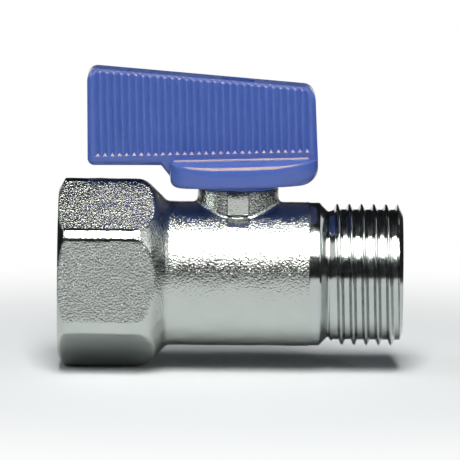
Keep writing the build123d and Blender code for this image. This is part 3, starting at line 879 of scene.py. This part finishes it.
count = len(body.data.vertices)
coordinates = np.empty(count * 3, np.float32)
normals = np.empty(count * 3, np.float32)
body.data.vertices.foreach_get("co", coordinates)
body.data.vertices.foreach_get("normal", normals)
coordinates = coordinates.reshape(-1, 3).astype(float)
normals = normals.reshape(-1, 3)
skin_weight = np.zeros(count)
row_weight = smooth_step(*WAVES_BEGIN, outer_x) * smooth_step(*WAVES_END, outer_x)
skin_weight[: outer_points.size // 3] = np.repeat(row_weight, COLUMNS)
skin_weight[number.size : number.size + boss_skin_rings * len(bearing)] = 1
push = WAVE_DEPTH * forged_waves(coordinates / MM, WAVES, *WAVE_LENGTHS) * skin_weight
coordinates += normals * (push * MM)[:, None]
body.data.vertices.foreach_set("co", coordinates.astype(np.float32).ravel())
body.data.update()
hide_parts("valve_body")
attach(body, "valve_body")
print("forged skin moved by up to", round(float(np.abs(push).max()), 3), "mm")

# %% [markdown]
# ## Handle: the grip
#
# The grip is a flat blade with thirty V-grooves on each side. Each groove ends at its foot in a slope and
# runs out through the bevel at the top, which leaves the zigzag line seen in the photograph. Each side is
# a depth below the blade's face: the deepest of the grooves and the edge bevel, with soft edges as a
# mould leaves them.

# %% Handle sizes, in millimetres
HANDLE_LEAN = math.radians(1.7)
SKIRT_Z = 13.5
SKIRT_TAIL, SKIRT_NOSE = -10.1, 11.9
GRIP_TAIL = -22.25
GRIP_DRAFT = math.tan(math.radians(1.0))
GRIP_HALF = 3.6
GRIP_BEVEL = 0.5
TOP_AT_STEM = 15.53
TOP_SLOPE = math.radians(6.27)
ARM_AT_TAIL, ARM_AT_SKIRT = 3.5, 3.25
GUSSET_LENGTH, GUSSET_HEIGHT = 1.25, 1.65
TAIL_TOP_R, TAIL_LOW_R, NOSE_TOP_R = 2.0, 1.0, 1.9
GROOVE_FIRST, GROOVE_PITCH, GROOVE_COUNT = -20.66, 1.068, 30
GROOVE_HALF, GROOVE_DEPTH = 0.42, 0.3
GROOVE_FOOT = 4.74
GROOVE_FOOT_SLOPE = math.tan(math.radians(27.5))
FOOT_SOFT, GROOVE_SOFT, BEVEL_SOFT = 0.008, 0.012, 0.24
HANDLE_CREASE = 30
GRIP_BASE = ARM_AT_SKIRT - GUSSET_HEIGHT
LOW_TAIL_R, LOW_NOSE_R = 1.3, 2.6
gusset_start = SKIRT_TAIL - GUSSET_LENGTH
print("grip", SKIRT_NOSE - GRIP_TAIL, "mm long with", GROOVE_COUNT, "grooves a side")


# %% Handle frame and edges
def handle_place(along, across, upward):
    """Points of the handle's own leaning frame, put into the valve's frame."""
    along, across, upward = np.broadcast_arrays(along, across, upward)
    x = stem_x + along * math.cos(HANDLE_LEAN) - upward * math.sin(HANDLE_LEAN)
    z = SKIRT_Z + along * math.sin(HANDLE_LEAN) + upward * math.cos(HANDLE_LEAN)
    return np.stack([x, across, z], axis=-1)


def round_end(distance, radius):
    """How far a rounded corner drops below its straight edge, at a distance in from the end."""
    inside = np.clip(radius - distance, 0, radius)
    return radius - np.sqrt(radius**2 - inside**2)


def straight_edges(along):
    """Heights of the blade's lower and upper edge before their corners are rounded. The lower edge is the
    arm's underside, then the slope of the gusset, then a line hidden in the skirt."""
    places = [GRIP_TAIL, gusset_start, SKIRT_TAIL, SKIRT_NOSE]
    arm = np.interp(along, places, [ARM_AT_TAIL, ARM_AT_SKIRT, GRIP_BASE, LOW_NOSE_R])
    return arm, TOP_AT_STEM - math.tan(TOP_SLOPE) * along


def round_corner(first, second, radius):
    """Distance in from a corner's two edges: the nearer edge, or the arc that rounds the corner."""
    past_first, past_second = radius - first, radius - second
    outside = np.hypot(np.maximum(past_first, 0), np.maximum(past_second, 0))
    return radius - outside - np.minimum(np.maximum(past_first, past_second), 0)


print("stem axis meets the handle's base at", handle_place(0.0, 0.0, 0.0).round(2))

# %% Grip rows and columns
half_groove = np.array([0.05, 0.12, 0.2, 0.28, 0.35, 0.4, 0.43, 0.47])
groove_steps = np.concatenate([[-0.534], -half_groove[::-1], [0.0], half_groove])
groove_places = GROOVE_FIRST + GROOVE_PITCH * np.arange(GROOVE_COUNT)
along = np.concatenate(
    [
        GRIP_TAIL + np.array([0, 0.01, 0.04, 0.09, 0.16, 0.25, 0.36, 0.48, 0.62, 0.8, 0.95]),
        (groove_places[:, None] + groove_steps).ravel(),
        SKIRT_NOSE - np.array([1.0, 0.82, 0.66, 0.5, 0.38, 0.27, 0.17, 0.09, 0.04, 0.01, 0]),
    ]
)
FEET_LOW, FEET_HIGH = 4.66, 5.44
END_REACH = 1.0
low_share = np.array([0, 0.03, 0.08, 0.14, 0.2, 0.27, 0.35, 0.45, 0.6, 0.8])
top_drop = np.array([0.08, 0.065, 0.054, 0.046, 0.039, 0.032, 0.026, 0.02, 0.014, 0.008, 0.004, 0])
high_share = np.concatenate([np.linspace(0.08, 0.89, 8), 1 - top_drop])
feet_rows = np.linspace(FEET_LOW, FEET_HIGH, 20)
low_line, high_line = straight_edges(along)
low = low_line + round_end(along - GRIP_TAIL, TAIL_LOW_R)
high = high_line - round_end(along - GRIP_TAIL, TAIL_TOP_R) - round_end(SKIRT_NOSE - along, NOSE_TOP_R)
upward = np.hstack(
    [
        low[:, None] + (FEET_LOW - low)[:, None] * low_share,
        np.repeat(feet_rows[None, :], len(along), 0),
        FEET_HIGH + (high - FEET_HIGH)[:, None] * high_share,
    ]
)
tail_share = np.clip(1 - (along - GRIP_TAIL) / END_REACH, 0, 1)[:, None]
nose_share = np.clip(1 - (SKIRT_NOSE - along) / END_REACH, 0, 1)[:, None]
tail_lean = tail_share * (upward - ARM_AT_TAIL) * GRIP_DRAFT
nose_lean = nose_share * (upward - LOW_NOSE_R) * GRIP_DRAFT
along_table = along[:, None] + tail_lean - nose_lean
print("grip side of", along_table.shape, "points")


# %% Depth of grooves and bevel
def grip_depth(along, upward):
    """Depth below the blade's face. The bevel deepens towards every edge, a groove is a V whose depth can't
    exceed the slope at its foot, and the deeper of the two wins with a soft edge."""
    low_line, high_line = straight_edges(along)
    from_tail = along - GRIP_TAIL - (upward - ARM_AT_TAIL) * GRIP_DRAFT
    from_nose = SKIRT_NOSE - along - (upward - LOW_NOSE_R) * GRIP_DRAFT
    from_top = (high_line - upward) * math.cos(TOP_SLOPE)
    from_low = upward - low_line
    nearest = round_corner(from_tail, from_top, TAIL_TOP_R)
    nearest = np.minimum(nearest, round_corner(from_tail, from_low, TAIL_LOW_R))
    nearest = np.minimum(nearest, round_corner(from_nose, from_top, NOSE_TOP_R))
    nearest = np.clip(np.minimum(nearest, np.minimum(from_nose, from_low)), 0, None)
    bevel = GRIP_BEVEL - nearest
    which = np.clip(np.round((along - GROOVE_FIRST) / GROOVE_PITCH), 0, GROOVE_COUNT - 1)
    off = np.abs(along - GROOVE_FIRST - which * GROOVE_PITCH)
    vee = GROOVE_DEPTH * (1 - off / GROOVE_HALF)
    vee = soft_min(vee, (upward - GROOVE_FOOT) * GROOVE_FOOT_SLOPE, FOOT_SOFT)
    return soft_max(bevel, soft_max(vee, 0.0, GROOVE_SOFT), BEVEL_SOFT)


depth = grip_depth(along_table, upward)
print("grip depth", round(depth.min(), 3), "to", round(depth.max(), 3), "mm")

# %% Close the grip
near_side = handle_place(along_table, -(GRIP_HALF - depth), upward)
far_side = handle_place(along_table, GRIP_HALF - depth, upward)
near_number = np.arange(along_table.size).reshape(along_table.shape)
far_number = near_number + along_table.size


def rim(table):
    """Numbers round the edge of a table, in order."""
    return np.concatenate([table[:-1, 0], table[-1, :-1], table[:0:-1, -1], table[0, :0:-1]])


rim_strip = grid_quads(np.stack([rim(near_number), rim(far_number)]), wrap_columns=True)
grip_points = np.concatenate([near_side.reshape(-1, 3), far_side.reshape(-1, 3)])
grip_quads = [grid_quads(near_number), grid_quads(far_number), rim_strip]
grip_faces = np.concatenate([quads.reshape(-1, 4) for quads in grip_quads])
grip = mesh_piece("grip_blank", grip_points, [grip_faces], [handle_blue])
face_outwards(grip, HANDLE_CREASE)

# %% [markdown]
# ## Handle: the skirt
#
# The skirt is the wider foot of the handle, over the boss. Seen from above it is a rounded rectangle with
# bowed sides, seen from the side its lower corners are round, and seen from its end its sides roll over
# into a ledge. Where the bow and the roll cross, the light makes the short streak seen in the photograph.
# The outline is a loop of points carried up a list of heights, and a small flat face closes each end.

# %% Skirt surface
SKIRT_TOP = 3.82
SKIRT_ROUND_R = 2.4
SKIRT_HALF, SKIRT_TAIL_HALF, SKIRT_NOSE_HALF = 7.8, 6.9, 6.4
SKIRT_SQUARENESS = 9.0
SKIRT_COLUMNS = 240
LEDGE_EDGE_R = 0.2
ROUND_SOFT = 0.45
COLLAR_ALONG, COLLAR_ACROSS = 6.1, 6.9
COLLAR_BASE = 12.98
skirt_turn = 2 * np.pi * np.arange(SKIRT_COLUMNS) / SKIRT_COLUMNS


def skirt_outline(turn, inset, tail_cut, nose_cut):
    """Loop of the skirt's plan: a squared-off oval by a superellipse, as wide at the middle as the skirt and
    narrower at both ends, drawn in by an inset and cut shorter at the tail and the nose."""
    middle = (SKIRT_TAIL + SKIRT_NOSE) / 2
    half = (SKIRT_NOSE - SKIRT_TAIL) / 2
    reach = np.sign(np.cos(turn)) * np.abs(np.cos(turn)) ** (2 / SKIRT_SQUARENESS)
    spread = np.sign(np.sin(turn)) * np.abs(np.sin(turn)) ** (2 / SKIRT_SQUARENESS)
    end_half = np.where(reach > 0, SKIRT_NOSE_HALF, SKIRT_TAIL_HALF)
    width = SKIRT_HALF - (SKIRT_HALF - end_half) * reach**2
    shorter = np.where(reach > 0, nose_cut, tail_cut) + inset
    return middle + reach * (half - shorter), spread * (width - inset)


def low_corner(height, radius):
    """How far a round lower corner draws the end in, at a height above the skirt's base."""
    rise = np.clip(radius - height, 0, radius)
    return radius - math.sqrt(radius**2 - rise**2)


def end_edge(height):
    """How far the small round along the ledge's ends draws them in, near the skirt's top."""
    rise = np.clip(height - SKIRT_TOP + LEDGE_EDGE_R, 0, LEDGE_EDGE_R)
    return LEDGE_EDGE_R - math.sqrt(LEDGE_EDGE_R**2 - rise**2)


def rounded_over(across, height):
    """Keeps a loop's width within the quarter round that joins the skirt's sides to the ledge at its top."""
    rise = np.clip(height - SKIRT_TOP + SKIRT_ROUND_R, 0, SKIRT_ROUND_R)
    limit = SKIRT_HALF - SKIRT_ROUND_R + math.sqrt(SKIRT_ROUND_R**2 - rise**2)
    return np.sign(across) * soft_min(np.abs(across), limit + ROUND_SOFT / 4, ROUND_SOFT)


print("skirt", SKIRT_NOSE - SKIRT_TAIL, "mm long and", 2 * SKIRT_HALF, "mm wide")

# %% Skirt rows and collar
BASE_INSET = 0.8
round_turn = np.radians([0, 8, 16, 22, 28, 34, 40, 46, 52, 58, 64, 68, 72, 76, 80, 84, 87, 90])
side_rows = [(0.0, BASE_INSET), (0.0, 0.3), (0.05, 0.16), (0.14, 0.06)]
side_rows += [(height, 0.0) for height in (0.28, 0.5, 0.8, 1.2)]
side_rows += [(SKIRT_TOP - SKIRT_ROUND_R + SKIRT_ROUND_R * math.sin(turn), 0.0) for turn in round_turn]
skirt_rows = []
for height, inset in side_rows:
    tail_cut = low_corner(height, LOW_TAIL_R) + end_edge(height)
    nose_cut = low_corner(height, LOW_NOSE_R) + end_edge(height)
    loop_along, loop_across = skirt_outline(skirt_turn, inset, tail_cut, nose_cut)
    loop_across = rounded_over(loop_across, height)
    skirt_rows.append(handle_place(loop_along, loop_across, height))
for shrink in (0.7, 0.35, 0.08):
    skirt_rows.append(handle_place(loop_along * shrink, loop_across * shrink, SKIRT_TOP))
base_loop = skirt_outline(skirt_turn, BASE_INSET, low_corner(0, LOW_TAIL_R), low_corner(0, LOW_NOSE_R))
base_bearing = np.arctan2(base_loop[1], base_loop[0])
collar_x, collar_y = COLLAR_ALONG * np.cos(base_bearing), COLLAR_ACROSS * np.sin(base_bearing)
collar = []
for reach, height in ((0.07, COLLAR_BASE), (0.98, COLLAR_BASE), (1.0, COLLAR_BASE + 0.12)):
    level_z = np.full(SKIRT_COLUMNS, height)
    collar.append(np.stack([stem_x + reach * collar_x, reach * collar_y, level_z], axis=-1))
collar_root = handle_place(collar_x, collar_y, 0.0)
skirt_table = np.stack(collar + [collar_root] + skirt_rows)
skirt_number = np.arange(skirt_table.size // 3).reshape(-1, SKIRT_COLUMNS)
skirt = mesh_piece(
    "skirt_blank",
    skirt_table.reshape(-1, 3),
    [grid_quads(skirt_number, wrap_columns=True).reshape(-1, 4), skirt_number[:1], skirt_number[-1:]],
    [handle_blue],
)
face_outwards(skirt, HANDLE_CREASE)

# %% [markdown]
# ## Handle: joined and bored
#
# The blade, its small sloping foot on the ledge and the skirt are one moulding, so a Boolean joins them.
# It also cuts the screw's way in from the top, the socket for the stem, and the core under the arm that
# keeps the plastic from sinking. Booleans suit these cuts, because they are plain holes across a surface
# that is already finished.


# %% Screw's way and stem socket
def lathe(name, profile, sides):
    """A closed round shell about the stem axis, from pairs of reach and height, with flat discs as ends."""
    turn = 2 * np.pi * np.arange(sides) / sides
    reach, height = np.array(profile, float).T
    points = np.stack(
        [
            stem_x + reach[:, None] * np.cos(turn),
            reach[:, None] * np.sin(turn),
            np.repeat(height[:, None], sides, 1),
        ],
        axis=-1,
    )
    table = np.arange(points.size // 3).reshape(len(profile), sides)
    faces = [grid_quads(table, wrap_columns=True).reshape(-1, 4), table[:1], table[-1:]]
    shell = mesh_piece(name, points.reshape(-1, 3), faces, [handle_blue])
    face_outwards(shell, HANDLE_CREASE)
    return shell


RECESS_R, SOCKET_R, SCREW_R, HEAD_R, TIP_R = 5.3, 3.05, 1.65, 2.45, 0.3
RECESS_TOP, SOCKET_TOP, HEAD_SEAT = 14.4, 19.2, 20.6
BELOW_HANDLE, ABOVE_HANDLE = 12.6, 32.0
bore_profile = [(TIP_R, BELOW_HANDLE), (RECESS_R, BELOW_HANDLE)]
bore_profile += [(RECESS_R, RECESS_TOP), (SOCKET_R, RECESS_TOP)]
bore_profile += [(SOCKET_R, SOCKET_TOP), (SCREW_R, SOCKET_TOP), (SCREW_R, HEAD_SEAT), (HEAD_R, HEAD_SEAT)]
bore_profile += [(HEAD_R, ABOVE_HANDLE), (TIP_R, ABOVE_HANDLE)]
BORE_SIDES = 64
bore = lathe("bore", bore_profile, BORE_SIDES)


# %% Core, and the grip's foot
def bar(name, first_end, second_end):
    """A closed bar between two end loops with the same number of points."""
    points = np.concatenate([first_end, second_end])
    table = np.arange(len(points)).reshape(2, -1)
    sides = grid_quads(table, wrap_columns=True).reshape(-1, 4)
    shell = mesh_piece(name, points, [sides, table[:1], table[1:]], [handle_blue])
    face_outwards(shell, HANDLE_CREASE)
    return shell


CORE_HALF = 1.6
core_along, core_up = np.array([(-20.8, 2.5), (-12.15, 2.5), (-12.15, 14.9), (-20.8, 15.8)]).T
core_ends = [handle_place(core_along, half, core_up) for half in (-CORE_HALF, CORE_HALF)]
core = bar("core", *core_ends)
GRIP_FOOT_HEIGHT, GRIP_FOOT_SPREAD = 0.27, 0.16
GRIP_FOOT_TAIL_GAP, GRIP_FOOT_NOSE_GAP = 0.6, 1.4
half_foot = [
    (GRIP_HALF + GRIP_FOOT_SPREAD * 1.5, SKIRT_TOP - GRIP_FOOT_HEIGHT / 2),
    (GRIP_HALF - GRIP_FOOT_SPREAD / 2, SKIRT_TOP + GRIP_FOOT_HEIGHT * 1.5),
]
foot_across, foot_up = np.array(half_foot + [(-across, height) for across, height in half_foot[::-1]]).T
foot_tail, foot_nose = SKIRT_TAIL + GRIP_FOOT_TAIL_GAP, SKIRT_NOSE - GRIP_FOOT_NOSE_GAP
foot_ends = [handle_place(end, foot_across, foot_up) for end in (foot_tail, foot_nose)]
grip_foot = bar("grip_foot", *foot_ends)


# %% Join and bore the handle
def carve(piece, other, operation):
    """Joins or cuts a piece by another one and throws the other away."""
    step = piece.modifiers.new(operation.lower(), "BOOLEAN")
    step.operation = operation
    step.solver = "EXACT"
    step.object = other
    view = bpy.context.evaluated_depsgraph_get()
    result = bpy.data.meshes.new_from_object(piece.evaluated_get(view))
    piece.modifiers.clear()
    piece.data = result
    bpy.data.objects.remove(other)


carve(grip, skirt, "UNION")
carve(grip, grip_foot, "UNION")
carve(grip, bore, "DIFFERENCE")
carve(grip, core, "DIFFERENCE")
grip.name = "handle_moulding"
grip.data.name = "handle_moulding"
MOULDING_CREASE = 32
face_outwards(grip, MOULDING_CREASE)
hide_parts("lever_handle")
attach(grip, "lever")
